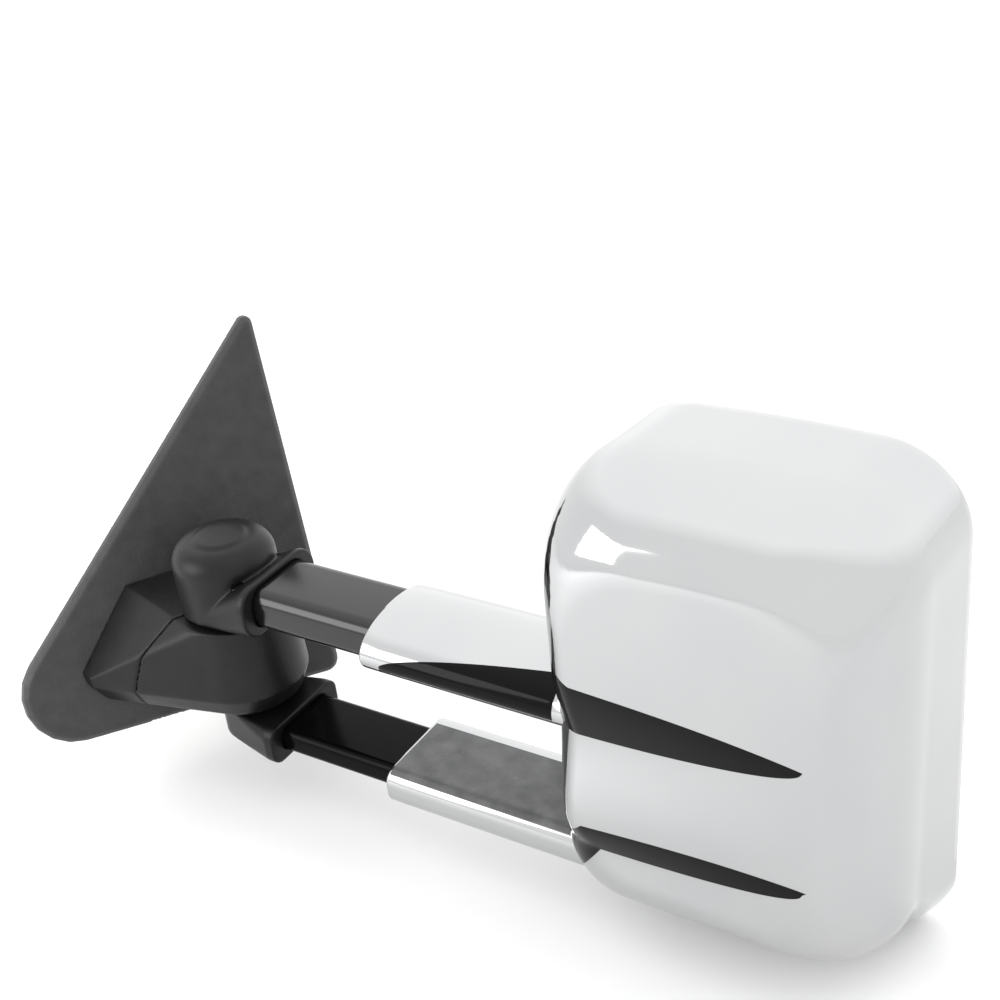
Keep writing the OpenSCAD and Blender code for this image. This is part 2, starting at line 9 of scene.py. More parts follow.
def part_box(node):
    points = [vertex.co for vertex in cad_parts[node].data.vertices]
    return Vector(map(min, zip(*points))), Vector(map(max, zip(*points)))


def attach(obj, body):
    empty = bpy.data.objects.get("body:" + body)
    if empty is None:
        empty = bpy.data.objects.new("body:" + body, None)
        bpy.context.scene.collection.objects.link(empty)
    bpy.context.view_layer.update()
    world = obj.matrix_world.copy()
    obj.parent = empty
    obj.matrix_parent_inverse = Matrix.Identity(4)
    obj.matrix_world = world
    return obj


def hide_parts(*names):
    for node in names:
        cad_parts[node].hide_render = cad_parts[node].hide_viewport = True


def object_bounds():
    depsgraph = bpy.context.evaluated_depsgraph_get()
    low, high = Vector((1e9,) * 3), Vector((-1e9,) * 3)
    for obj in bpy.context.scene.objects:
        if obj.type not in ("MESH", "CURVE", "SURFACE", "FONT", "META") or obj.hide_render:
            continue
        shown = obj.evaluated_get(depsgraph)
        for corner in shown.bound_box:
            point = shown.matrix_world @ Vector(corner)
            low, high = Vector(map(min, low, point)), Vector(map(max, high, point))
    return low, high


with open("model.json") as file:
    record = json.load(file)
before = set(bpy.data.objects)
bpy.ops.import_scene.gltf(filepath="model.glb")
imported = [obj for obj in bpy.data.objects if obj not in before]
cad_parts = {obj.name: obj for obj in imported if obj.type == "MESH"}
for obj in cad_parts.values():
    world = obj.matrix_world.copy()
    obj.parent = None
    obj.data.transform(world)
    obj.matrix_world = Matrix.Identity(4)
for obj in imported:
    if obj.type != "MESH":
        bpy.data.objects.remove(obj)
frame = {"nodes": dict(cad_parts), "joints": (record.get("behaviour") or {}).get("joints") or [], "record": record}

cad_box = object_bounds()

# All shapes are written in millimetres from the fold pivot: +X to the door, +Y forward, +Z up.
MM = 0.001
JOINTS = {j["name"]: j for j in frame["joints"]}
PIVOT = Vector(JOINTS["arm_fold"]["pos_m"])


def node_box(node):
    """A CAD node's corners in millimetres from the pivot."""
    lo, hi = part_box(node)
    return (lo - PIVOT) / MM, (hi - PIVOT) / MM


# ------------------------------------------------------------------ sizes read from the frame
SHELL_LO, SHELL_HI = node_box("head_shell")
RIM_Y, BACK_Y = SHELL_LO.y, SHELL_HI.y
HEAD_H = 280.0
HEAD_W = 179.0
HEAD_Z = SHELL_HI.z - HEAD_H / 2
MAIN_LO, MAIN_HI = node_box("main_glass")
SPOT_LO, SPOT_HI = node_box("spot_glass")
HEAD_X = (MAIN_LO.x + MAIN_HI.x) / 2
UPPER_LO, UPPER_HI = node_box("upper_arm_sleeve")
LOWER_LO, LOWER_HI = node_box("lower_arm_sleeve")
UPPER_Z = (UPPER_LO.z + UPPER_HI.z) / 2
LOWER_Z = (LOWER_LO.z + LOWER_HI.z) / 2
WALL = 2.6
# Places in the head where the painted reflections on the sleeves, the dark strips and the grey panel, end, out of
# sight
DARK_REFLECTION_END_X = -242.0
GREY_REFLECTION_END_X = -246.0


# ------------------------------------------------------------------ materials
class Paint:
    """Builds one Principled material whose detail comes from noise in object space."""

    def __init__(self, name, base, roughness, metallic=0.0, **sockets):
        self.mat = bpy.data.materials.new(name)
        self.mat.use_nodes = True
        self.tree = self.mat.node_tree
        self.shader = self.tree.nodes["Principled BSDF"]
        self.shader.inputs["Base Color"].default_value = (*base, 1)
        self.shader.inputs["Roughness"].default_value = roughness
        self.shader.inputs["Metallic"].default_value = metallic
        for socket, value in sockets.items():
            self.shader.inputs[socket.replace("_", " ")].default_value = value
        self.coords = self.tree.nodes.new("ShaderNodeTexCoord")
        self.normal = None

    def link(self, a, b):
        self.tree.links.new(a, b)

    def noise(self, scale, detail):
        n = self.tree.nodes.new("ShaderNodeTexNoise")
        n.inputs["Scale"].default_value = scale
        n.inputs["Detail"].default_value = detail
        self.link(self.coords.outputs["Object"], n.inputs["Vector"])
        return n.outputs["Fac"]

    def cells(self, scale):
        n = self.tree.nodes.new("ShaderNodeTexVoronoi")
        n.inputs["Scale"].default_value = scale
        self.link(self.coords.outputs["Object"], n.inputs["Vector"])
        return n.outputs["Distance"]

    def ramp(self, factor, stops):
        n = self.tree.nodes.new("ShaderNodeValToRGB")
        while len(n.color_ramp.elements) < len(stops):
            n.color_ramp.elements.new(0.5)
        for element, (place, colour) in zip(n.color_ramp.elements, stops):
            element.position = place
            element.color = (*colour, 1)
        self.link(factor, n.inputs["Fac"])
        return n.outputs["Color"]

    def colour(self, factor, stops):
        self.link(self.ramp(factor, stops), self.shader.inputs["Base Color"])

    def rough(self, factor, low, high):
        n = self.tree.nodes.new("ShaderNodeMapRange")
        n.inputs["To Min"].default_value = low
        n.inputs["To Max"].default_value = high
        self.link(factor, n.inputs["Value"])
        self.link(n.outputs["Result"], self.shader.inputs["Roughness"])

    def bump(self, height, strength, distance):
        n = self.tree.nodes.new("ShaderNodeBump")
        n.inputs["Strength"].default_value = strength
        n.inputs["Distance"].default_value = distance
        self.link(height, n.inputs["Height"])
        if self.normal:
            self.link(self.normal, n.inputs["Normal"])
        self.normal = n.outputs["Normal"]
        self.link(self.normal, self.shader.inputs["Normal"])


def chrome():
    p = Paint("chrome_plate", (0.47, 0.473, 0.477), 0.06, 1.0)
    p.rough(p.noise(60, 2), 0.05, 0.09)
    p.colour(p.noise(14, 2), [(0.3, (0.46, 0.465, 0.47)), (0.7, (0.48, 0.482, 0.485))])
    return p.mat


def grained_plastic(name, base, roughness, grain, strength, sheen=0.25):
    p = Paint(name, base, roughness, Specular_IOR_Level=sheen)
    dark = tuple(c * 0.8 for c in base)
    light = tuple(c * 1.3 for c in base)
    p.colour(p.noise(90, 4), [(0.3, dark), (0.7, light)])
    p.rough(p.noise(grain * 0.5, 2), roughness - 0.07, roughness + 0.07)
    p.bump(p.cells(grain), strength, 0.00018)
    p.bump(p.noise(grain * 1.7, 2), strength, 0.00012)
    return p.mat


def gloss_black(name, roughness, wave, sheen):
    p = Paint(name, (0.002, 0.002, 0.0022), roughness, Specular_IOR_Level=sheen)
    p.rough(p.noise(400, 2), roughness * 0.8, roughness * 1.25)
    p.bump(p.noise(wave, 1), 0.04, 0.0003)
    return p.mat


def powder_coat():
    p = Paint("gloss_black_coat", (0.004, 0.004, 0.004), 0.14, Specular_IOR_Level=0.5)
    p.rough(p.noise(700, 2), 0.12, 0.2)
    p.bump(p.noise(900, 2), 0.05, 0.00008)
    return p.mat


def die_cast():
    p = Paint("die_cast_alloy", (0.30, 0.30, 0.30), 0.42, 0.9)
    p.colour(p.noise(120, 5), [(0.25, (0.16, 0.16, 0.158)), (0.55, (0.30, 0.30, 0.295)),
                               (0.8, (0.45, 0.45, 0.44))])
    p.rough(p.noise(260, 3), 0.34, 0.55)
    p.bump(p.noise(900, 4), 0.25, 0.00025)
    return p.mat


def yellow_zinc():
    p = Paint("yellow_zinc", (0.72, 0.55, 0.22), 0.24, 1.0)
    p.colour(p.noise(160, 3), [(0.3, (0.78, 0.58, 0.20)), (0.5, (0.82, 0.68, 0.34)),
                               (0.68, (0.70, 0.56, 0.42)), (0.8, (0.62, 0.66, 0.38))])
    p.rough(p.noise(500, 2), 0.18, 0.34)
    return p.mat


def plated_steel():
    p = Paint("plated_steel", (0.6, 0.6, 0.61), 0.28, 1.0)
    p.colour(p.noise(220, 3), [(0.3, (0.5, 0.5, 0.51)), (0.7, (0.68, 0.68, 0.69))])
    p.rough(p.noise(600, 2), 0.2, 0.4)
    p.bump(p.noise(1500, 2), 0.1, 0.00005)
    return p.mat


def foam():
    p = Paint("foam_rubber", (0.018, 0.018, 0.018), 0.9)
    p.colour(p.noise(200, 3), [(0.3, (0.012, 0.012, 0.012)), (0.7, (0.03, 0.03, 0.03))])
    p.bump(p.cells(1400), 0.6, 0.0004)
    return p.mat


def silvered(name, tint):
    p = Paint(name, tint, 0.015, 1.0, Coat_Weight=1.0, Coat_Roughness=0.0)
    p.rough(p.noise(8, 2), 0.008, 0.02)
    p.colour(p.noise(5, 1), [(0.3, tuple(c * 0.985 for c in tint)), (0.7, tint)])
    return p.mat


def acetal():
    p = Paint("acetal", (0.72, 0.68, 0.58), 0.35)
    p.colour(p.noise(150, 2), [(0.3, (0.68, 0.64, 0.54)), (0.7, (0.76, 0.72, 0.62))])
    return p.mat


MATERIALS = {
    "textured_plastic": grained_plastic("textured_plastic", (0.006, 0.006, 0.0063), 0.36, 1500, 0.3),
    "plate_grain": grained_plastic("plate_grain", (0.022, 0.022, 0.0225), 0.46, 900, 0.6, 0.5),
    "socket_plastic": grained_plastic("socket_plastic", (0.004, 0.004, 0.0042), 0.34, 1700, 0.2, 0.2),
    "black_plastic": grained_plastic("black_plastic", (0.008, 0.008, 0.008), 0.5, 1400, 0.3),
    "die_cast": die_cast(),
    "gasket_foam": foam(),
    "zinc_stud": yellow_zinc(),
    "screw_steel": plated_steel(),
    "bush_acetal": acetal(),
    "gloss_tube": powder_coat(),
    "chromed_plastic": chrome(),
    # near-black gloss with little sheen: the flute and sleeve strips wear it as painted dark reflection on the
    # chrome
    "bezel_plastic": gloss_black("flute_gloss", 0.07, 60, 0.1),
    "bezel_gloss": gloss_black("bezel_gloss", 0.12, 60, 0.5),
    # A duller copy of the tubes' gloss, for the lower tube only: painted shade
    "tube_gloss": gloss_black("tube_gloss", 0.12, 60, 0.05),
    # smoke grey for the lower sleeve's panel: painted reflection on the chrome
    "smoke_gloss": grained_plastic("smoke_gloss", (0.11, 0.111, 0.113), 0.25, 1500, 0.02),
    "glass_pad_foam": foam(),
    "mirror_glass": silvered("flat_mirror", (0.56, 0.57, 0.58)),
}
for entry in frame["record"]["subparts"]:
    cad = frame["nodes"][entry["node"]]
    cad.data.materials.clear()
    cad.data.materials.append(MATERIALS[entry["material_slot"]])


# ------------------------------------------------------------------ mesh building
def lerp(a, b, t):
    return a + (b - a) * t


def smooth(t):
    t = min(1.0, max(0.0, t))
    return t * t * (3 - 2 * t)


def build(name, points, faces, body, slot, nodes=(), sharp=35.0, finish=None):
    """Makes a mesh object from points in millimetres from the pivot."""
    mesh = bpy.data.meshes.new(name)
    mesh.from_pydata([PIVOT + Vector(p) * MM for p in points], [], faces)
    mesh.validate()
    bm = bmesh.new()
    bm.from_mesh(mesh)
    bmesh.ops.delete(bm, geom=[v for v in bm.verts if not v.link_faces], context="VERTS")
    bmesh.ops.remove_doubles(bm, verts=bm.verts, dist=1e-7)
    bmesh.ops.recalc_face_normals(bm, faces=bm.faces)
    bm.to_mesh(mesh)
    bm.free()
    obj = bpy.data.objects.new(name, mesh)
    bpy.context.scene.collection.objects.link(obj)
    return dress(obj, body, slot, nodes, sharp, finish)


def dress(obj, body, slot, nodes, sharp, finish):
    """Gives a piece its material, shading and body, and hides the CAD nodes it stands for.

    finish names another material than its slot's. Edges sharper than sharp degrees stay hard."""
    obj.data.materials.clear()
    obj.data.materials.append(MATERIALS[finish or slot])
    for poly in obj.data.polygons:
        poly.use_smooth = True
    if sharp:
        mark_sharp(obj.data, math.radians(sharp))
    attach(obj, body)
    if nodes:
        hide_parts(*nodes)
    return obj


def mark_sharp(mesh, angle):
    """Marks the edges that turn by more than an angle, so that they shade as corners."""
    bm = bmesh.new()
    bm.from_mesh(mesh)
    for e in bm.edges:
        e.smooth = not (len(e.link_faces) == 2 and e.calc_face_angle(0) > angle)
    bm.to_mesh(mesh)
    bm.free()


def loft(rings, loop=False):
    """Faces between rings of equal length, closed at both ends or, with loop, joined end to end."""
    n = len(rings[0])
    points = [p for ring in rings for p in ring]
    faces = []
    for i in range(len(rings) if loop else len(rings) - 1):
        a, b = i * n, ((i + 1) % len(rings)) * n
        faces += [(a + k, a + (k + 1) % n, b + (k + 1) % n, b + k) for k in range(n)]
    if not loop:
        faces.append(tuple(range(n))[::-1])
        faces.append(tuple(range((len(rings) - 1) * n, len(rings) * n)))
    return points, faces


def corner_arc(p, a, b, r, grow, n):
    """Arc that rounds corner p between neighbours a and b, moved outwards by grow."""
    da, db = (a - p).normalized(), (b - p).normalized()
    half = math.acos(max(-1, min(1, da.dot(db)))) / 2
    centre = p + (da + db).normalized() * (r / math.sin(half))
    s, e = p + da * (r / math.tan(half)) - centre, p + db * (r / math.tan(half)) - centre
    a0, a1 = math.atan2(s.y, s.x), math.atan2(e.y, e.x)
    sweep = (a1 - a0 + 3 * math.pi) % (2 * math.pi) - math.pi
    return [centre + Vector((math.cos(a0 + sweep * i / n), math.sin(a0 + sweep * i / n))) * (r + grow)
            for i in range(n + 1)]


def outline(corners, grow=0.0, n=12):
    """Closed 2D outline from (x, y, radius) corners, counter-clockwise."""
    ps = [Vector((c[0], c[1])) for c in corners]
    out = []
    for i, c in enumerate(corners):
        out += corner_arc(ps[i], ps[i - 1], ps[(i + 1) % len(ps)], c[2], grow, n)
    return out


def box_outline(w, h, r, grow=0.0, n=12):
    return outline([(-w / 2, -h / 2, r), (w / 2, -h / 2, r),
                    (w / 2, h / 2, r), (-w / 2, h / 2, r)], grow, n)


def oval(w, h, grow=0.0, n=96):
    return [Vector(((w / 2 + grow) * math.cos(2 * math.pi * i / n),
                    (h / 2 + grow) * math.sin(2 * math.pi * i / n))) for i in range(n)]


def ring_x(x, z, pts):
    return [(x, p.x, z + p.y) for p in pts]


def ring_y(y, pts, cx=0.0, cz=0.0):
    return [(cx + p.x, y, cz + p.y) for p in pts]


# ------------------------------------------------------------------ head shell
WIDEST_Y = -10.0


def head_section(swell, rounding, grow=0.0, n=14):
    """The head's section: swell goes from 0 at the rim to 1 where it is widest, rounding on to the back."""
    left = HEAD_X - HEAD_W / 2 + 33 * rounding
    right = HEAD_X + HEAD_W / 2 - 27.5 * rounding
    low = HEAD_Z - HEAD_H / 2 + 20.5 * swell ** 1.6 + 40 * rounding
    high = HEAD_Z + HEAD_H / 2 - 41 * rounding
    return outline([(left + 6 * swell, low, 32), (right - 3.5 + 10 * swell, low, 32),
                    (right + 0.5 + 4 * swell, high - 3, 44), (HEAD_X, high, 900 - 740 * rounding),
                    (left + 1.5 * swell, high - 3, 44)], grow, n)


class Side:
    """One side of a closed outline, from the middle of one corner to the middle of the next."""

    def __init__(self, pts):
        self.pts = pts
        self.at = [0.0]
        for a, b in zip(pts, pts[1:]):
            self.at.append(self.at[-1] + (b - a).length)

    def point(self, f):
        d = f * self.at[-1]
        k = max(i for i in range(len(self.at) - 1) if self.at[i] <= d + 1e-9)
        step = self.at[k + 1] - self.at[k]
        return self.pts[k].lerp(self.pts[k + 1], (d - self.at[k]) / step if step else 0)


def split_sides(pts, n=14):
    """Bottom, inboard, top and outboard sides of a head section, each along +X or +Z."""
    per, half = n + 1, n // 2
    mid = [half, per + half, 2 * per + half, 4 * per + half]      # middles of the four round corners
    ring = pts + pts
    bottom = ring[mid[0]:mid[1] + 1]
    inboard = ring[mid[1]:mid[2] + 1]
    top = ring[mid[2]:mid[3] + 1][::-1]
    outboard = ring[mid[3]:mid[0] + len(pts) + 1][::-1]
    return Side(bottom), Side(inboard), Side(top), Side(outboard)


# Flutes on the back: each runs from the inboard edge to a tip, between an upper and a lower line
TIP_X = -380.0
ROOT_X = -236.0
FLUTES = [dict(tip=-20.5, rise=-6.5, drop=22.5, hump=3.0, bow=0.42, deep=6.5, fade=40.0),
          dict(tip=50.0, rise=11.5, drop=25.0, hump=3.2, bow=0.52, deep=9.5, fade=46.0)]
THIN = 0.3


def flute_lines(flute, x):
    """Heights of a flute's upper and lower line at x."""
    s = min(1.15, max(0.0, (x - TIP_X) / (ROOT_X - TIP_X)))
    hump = flute["hump"] * math.sin(math.pi * min(s, 1.0) ** 0.8)
    low = flute["tip"] - flute["drop"] * s ** flute["bow"]
    return flute["tip"] + flute["rise"] * s + hump + THIN, low - THIN, s


def flute_depth(x, z):
    """How far the back is pressed in at a place."""
    deep = 0.0
    for f in FLUTES:
        high, low, s = flute_lines(f, x)
        if s <= 0:
            continue
        full = f["deep"] * s ** 0.9
        if z > low:
            t = (high - z) / (high - low)
            deep = max(deep, full * max(0.0, min(1.0, t)) ** 1.25)
        else:
            deep = max(deep, full * (1 - smooth((low - z) / f["fade"])))
    return deep


ROWS = [14, 8, 34, 12, 46]
COLUMNS = 72
CROWN = 0.8


def head_shell():
    # swell, rounding, offset and depth of each section, from the inner lip round the rim to the back
    stations = [(0, 0, -WALL, RIM_Y + 11), (0, 0, -WALL, RIM_Y + 0.6), (0, 0, -WALL + 0.4, RIM_Y + 0.1),
                (0, 0, -WALL + 1, RIM_Y), (0, 0, -0.8, RIM_Y), (0, 0, -0.25, RIM_Y + 0.25), (0, 0, 0, RIM_Y + 0.9)]
    for k in range(1, 10):
        t = k / 9
        stations.append((t, 0, 0, lerp(RIM_Y + 0.9, WIDEST_Y, t)))
    for k in range(1, 31):
        a = math.radians(3 * k)
        stations.append((1, 1 - math.cos(a), 0, lerp(WIDEST_Y, BACK_Y - CROWN, math.sin(a))))
    sections = [split_sides(head_section(m, f, g)) for m, f, g, _ in stations]
    back = sections[-1]
    bottom, inboard, top, outboard = back

    def patch(u, v):
        """Point of the back inside its four sides, u outboard and v upward."""
        b, t = bottom.point(1 - u), top.point(1 - u)
        i, o = inboard.point(v), outboard.point(v)
        corners = (inboard.point(0) * (1 - u) * (1 - v) + outboard.point(0) * u * (1 - v)
                   + inboard.point(1) * (1 - u) * v + outboard.point(1) * u * v)
        return b * (1 - v) + t * v + i * (1 - u) + o * u - corners

    def rows_at(u):
        """Fractions up a column so that rows lie on the flutes' lines."""
        keys = [0.0]
        for f in FLUTES:
            for which in (1, 0):
                a, b = 0.0, 1.0
                for _ in range(30):
                    m = (a + b) / 2
                    p = patch(u, m)
                    if p.y < flute_lines(f, p.x)[which]:
                        a = m
                    else:
                        b = m
                keys.append(a)
        keys.append(1.0)
        out = [0.0]
        for k, n in enumerate(ROWS):
            out += [lerp(keys[k], keys[k + 1], i / n) for i in range(1, n + 1)]
        return out

    us = [i / COLUMNS for i in range(COLUMNS + 1)]
    vs = [rows_at(u) for u in us]
    rows = len(vs[0]) - 1
    points, index = [], {}

    def add(key, p):
        index[key] = len(points)
        points.append(p)

    for i, u in enumerate(us):
        for j in range(rows + 1):
            q = patch(u, vs[i][j])
            crown = CROWN * (1 - (2 * u - 1) ** 2) * (1 - (2 * vs[i][j] - 1) ** 2)
            add(("back", i, j), (q.x, BACK_Y - CROWN + crown - flute_depth(q.x, q.y), q.y))
    # border of the back, all the way round: bottom, outboard, top, inboard
    border = ([(i, 0) for i in range(COLUMNS)] + [(COLUMNS, j) for j in range(rows)]
              + [(i, rows) for i in range(COLUMNS, 0, -1)] + [(0, j) for j in range(rows, 0, -1)])
    for k, (_, _, _, y) in enumerate(stations[:-1]):
        b, inn, t, out = sections[k]
        for i, j in border:
            if j == 0:
                q = b.point(1 - us[i])
            elif j == rows:
                q = t.point(1 - us[i])
            elif i == 0:
                q = inn.point(vs[0][j])
            else:
                q = out.point(vs[COLUMNS][j])
            press = flute_depth(q.x, q.y) * smooth((y - 22) / 30)
            add(("side", k, i, j), (q.x, y - press, q.y))
    # Faces between each flute's two lines go apart into bands, which become painted dark reflection: near-black
    # strips laid on the chrome.
    faces, reflection_bands = [], {0: [], 1: []}
    first = ROWS[0]
    band_rows = {0: range(first, first + ROWS[1]),
                 1: range(first + ROWS[1] + ROWS[2], first + ROWS[1] + ROWS[2] + ROWS[3])}

    def put(face, j, x):
        for flute, span in band_rows.items():
            if j in span and x > TIP_X:
                reflection_bands[flute].append(face)
                return
        faces.append(face)

    for i in range(COLUMNS):
        for j in range(rows):
            f = (index["back", i, j], index["back", i + 1, j],
                 index["back", i + 1, j + 1], index["back", i, j + 1])
            put(f, j, points[f[0]][0])
    ring = border + border[:1]
    count = len(stations) - 1
    for k in range(count):
        for (i, j), (m, n) in zip(ring, ring[1:]):
            a, b = index["side", k, i, j], index["side", k, m, n]
            if k + 1 < count:
                c, d = index["side", k + 1, m, n], index["side", k + 1, i, j]
            else:
                c, d = index["back", m, n], index["back", i, j]
            inboard_side = i == 0 and m == 0 and stations[k][3] > 2
            put((a, b, c, d), min(j, n) if inboard_side else -1, 0)
    return points, faces, reflection_bands


shell_points, shell_faces, flute_reflection_faces = head_shell()
shell = build("chrome_shell", shell_points, shell_faces, "head", "chromed_plastic", ["head_shell"], sharp=28)
# Near-black strips on the flute bands: painted dark reflection on the chrome back
for place, band in (("lower", flute_reflection_faces[0]), ("upper", flute_reflection_faces[1])):
    build(place + "_flute_inlay", shell_points, band, "head", "bezel_plastic", sharp=28)


# ------------------------------------------------------------------ arm sleeves and tubes
def sleeve(name, section, z, node):
    """A chromed sleeve: an open tube with a rounded inboard lip."""
    lo, hi = node_box(node)
    stations = [(lo.x + 1, 1.6), (lo.x + 5, 1.6), (lo.x + 9, 1.5), (lo.x + 10.5, 1.0), (lo.x + 11.5, 0.35),
                (lo.x + 13, 0.0)]
    stations += [(lerp(lo.x + 13, hi.x - 1.6, k / 12), 0.0) for k in range(1, 13)]
    stations += [(hi.x - 0.9, -0.15), (hi.x - 0.3, -0.55), (hi.x, -1.15), (hi.x - 0.3, -1.75),
                 (hi.x - 1.2, -2.2), (hi.x - 20, -2.2), (lo.x + 1, -2.2)]
    points, faces = loft([ring_x(x, z, section(g)) for x, g in stations], loop=True)
    return build(name, points, faces, "head", "chromed_plastic", [node], sharp=40)


sleeve("upper_sleeve", lambda g: oval(70.4, 34.4, g, 128), UPPER_Z, "upper_arm_sleeve")
sleeve("lower_sleeve", lambda g: box_outline(62, 23, 9, g), LOWER_Z, "lower_arm_sleeve")


def sleeve_painted_reflection(name, start, low, high):
    """A thin near-black strip on the upper sleeve, between two angles round its oval: painted dark reflection on
    the chrome.
    """
    lo, hi = node_box("upper_arm_sleeve")
    points = []
    steps, across = 64, 18
    for i in range(steps + 1):
        s = start + (1 - start) * i / steps
        x = lerp(hi.x - 2, DARK_REFLECTION_END_X, s)
        a, b = low(s), high(s)
        for k in range(across + 1):
            f = math.radians(lerp(a, b, k / across))
            lift = 0.12 if 0 < k < across and 0 < i < steps else -0.15
            points.append((x, (35.2 + lift) * math.cos(f), UPPER_Z + (17.2 + lift) * math.sin(f)))
    n = across + 1
    faces = [(i * n + k, (i + 1) * n + k, (i + 1) * n + k + 1, i * n + k + 1)
             for i in range(steps) for k in range(across)]
    build(name, points, faces, "head", "bezel_plastic", sharp=60)


# Painted dark reflections on the upper sleeve: a widening strip on its front and a narrow one at its rear
sleeve_painted_reflection("front_sleeve_inlay", 0.08, lambda s: -14.0,
             lambda s: -14 + 76 * max(0.0, (s - 0.08) / 0.92) ** 0.45)
sleeve_painted_reflection("rear_sleeve_inlay", 0.02, lambda s: 178.0, lambda s: 222.0)


def sleeve_reflection_panel():
    """A thin smoke-grey panel on the flat top of the lower sleeve and the start of its front edge: painted
    dark-grey reflection on the chrome.
    """
    lo, hi = node_box("lower_arm_sleeve")
    path = [Vector((y, 11.5)) for y in (-20, -10, 0, 10, 20)]
    path += [Vector((22 + 9 * math.sin(a), 2.5 + 9 * math.cos(a)))
             for a in (math.radians(6 * k) for k in range(8))]
    path = [p + Vector((0, 0.12)) for p in path]
    points = [(lerp(hi.x - 2, GREY_REFLECTION_END_X, i / 8), p.x, LOWER_Z + p.y) for i in range(9) for p in path]
    n = len(path)
    faces = [(i * n + k, (i + 1) * n + k, (i + 1) * n + k + 1, i * n + k + 1)
             for i in range(8) for k in range(n - 1)]
    build("lower_sleeve_panel", points, faces, "head", "bezel_plastic", sharp=60, finish="smoke_gloss")


sleeve_reflection_panel()


def tube(name, w, h, r, z, node, finish=None):
    """A black arm tube with a broken edge at its outboard end."""
    lo, hi = node_box(node)
    stations = [(lo.x, -1.4), (lo.x + 0.3, -0.4), (lo.x + 1, 0)]
    stations += [(lerp(lo.x + 1, hi.x, k / 10), 0) for k in range(1, 11)]
    stations += [(hi.x, -1.8), (lo.x, -1.8)]
    points, faces = loft([ring_x(x, z, box_outline(w, h, r, g)) for x, g in stations], loop=True)
    return build(name, points, faces, "arms", "gloss_tube", [node], sharp=40, finish=finish)


tube("upper_tube", 47, 25.4, 9, UPPER_Z, "upper_arm_tube")
# The lower tube takes the duller copy of the gloss, which paints shade on it
tube("lower_tube", 43.4, 15.3, 5, LOWER_Z, "lower_arm_tube", "tube_gloss")


# ------------------------------------------------------------------ bezel and glass
def bead(name, section, cx, cz, y, inner, outer, high):
    """A half-round bead that stands high off the bezel, between two offsets of an outline."""
    mid, half = (inner + outer) / 2, (outer - inner) / 2
    profile = [(mid - half * math.cos(a), y - high * math.sin(a))
               for a in (math.pi * k / 10 for k in range(11))] + [(mid, y + 1.0)]
    points, faces = loft([ring_y(d, section(g), cx, cz) for g, d in profile], loop=True)
    build(name, points, faces, "head", "bezel_plastic", sharp=60, finish="bezel_gloss")


def main_outline(grow=0.0):
    w, h = (MAIN_HI.x - MAIN_LO.x) / 2, (MAIN_HI.z - MAIN_LO.z) / 2
    return outline([(-w + 1.5, -h, 8), (w - 1.5, -h, 8), (w, h - 2, 36), (0, h, 800), (-w, h - 2, 36)], grow)


def spot_outline(grow=0.0):
    w, h = (SPOT_HI.x - SPOT_LO.x) / 2, (SPOT_HI.z - SPOT_LO.z) / 2
    return outline([(-w + 3.5, -h, 25), (w - 3.5, -h, 25), (w - 1.5, h, 6), (-w + 1.5, h, 6)], grow)


MAIN_Z = (MAIN_LO.z + MAIN_HI.z) / 2
SPOT_Z = (SPOT_LO.z + SPOT_HI.z) / 2
BEZEL_Y = node_box("glass_bezel")[0].y
bead("bezel_outer_bead", lambda g: head_section(0, 0, g), 0, 0, BEZEL_Y + 0.1, -6.2, -3.3, 0.9)
bead("main_window_lip", main_outline, HEAD_X, MAIN_Z, BEZEL_Y + 0.1, 2.2, 4.0, 0.5)
bead("spot_window_lip", spot_outline, HEAD_X, SPOT_Z, BEZEL_Y + 0.1, 2.2, 4.0, 0.5)


def glass(name, section, z, lo, hi, bulge, radius, body, node):
    """Ground glass: a face with a bevelled edge, flat or bulging to the rear like part of a large ball."""
    def face_y(q):
        return lo.y + (radius - math.sqrt(radius * radius - q.length_squared) if bulge else 0.0)

    rings = [[(HEAD_X + q.x, hi.y, z + q.y) for q in section(0.0)],
             [(HEAD_X + q.x, face_y(q) + 0.7, z + q.y) for q in section(0.0)],
             [(HEAD_X + q.x, face_y(q), z + q.y) for q in section(-0.9)]]
    inner = section(-0.9)
    for k in range(1, 12):
        scaled = [q * (1 - k / 12) for q in inner]
        rings.append([(HEAD_X + q.x, face_y(q), z + q.y) for q in scaled])
    points, faces = loft(rings)
    return build(name, points, faces, body, "mirror_glass", [node], sharp=12)


glass("flat_glass", main_outline, MAIN_Z, MAIN_LO, MAIN_HI, False, 1.0, "main_mirror", "main_glass")
glass("wide_glass", spot_outline, SPOT_Z, SPOT_LO, SPOT_HI, True, 1200.0, "spot_mirror", "spot_glass")


# ------------------------------------------------------------------ moulded plastic of the base
def modified(obj, *steps):
    """Applies modifiers, given as (type, settings), to a new mesh for the object."""
    for kind, settings in steps:
        m = obj.modifiers.new(kind, kind)
        for key, value in settings.items():
            setattr(m, key, value)
    mesh = bpy.data.meshes.new_from_object(obj.evaluated_get(bpy.context.evaluated_depsgraph_get()))
    obj.modifiers.clear()
    obj.data = mesh


def moulding(name, node, body, slot, voxel=0.8, rounds=6, finish=None):
    """A moulded copy of a CAD node's form, with the soft edges that a tool leaves."""
    obj = bpy.data.objects.new(name, frame["nodes"][node].data.copy())
    bpy.context.scene.collection.objects.link(obj)
    modified(obj, ("REMESH", {"mode": "VOXEL", "voxel_size": voxel * MM, "use_smooth_shade": True}),
             ("SMOOTH", {"factor": 0.5, "iterations": rounds}))
    return dress(obj, body, slot, [node], sharp=0, finish=finish)


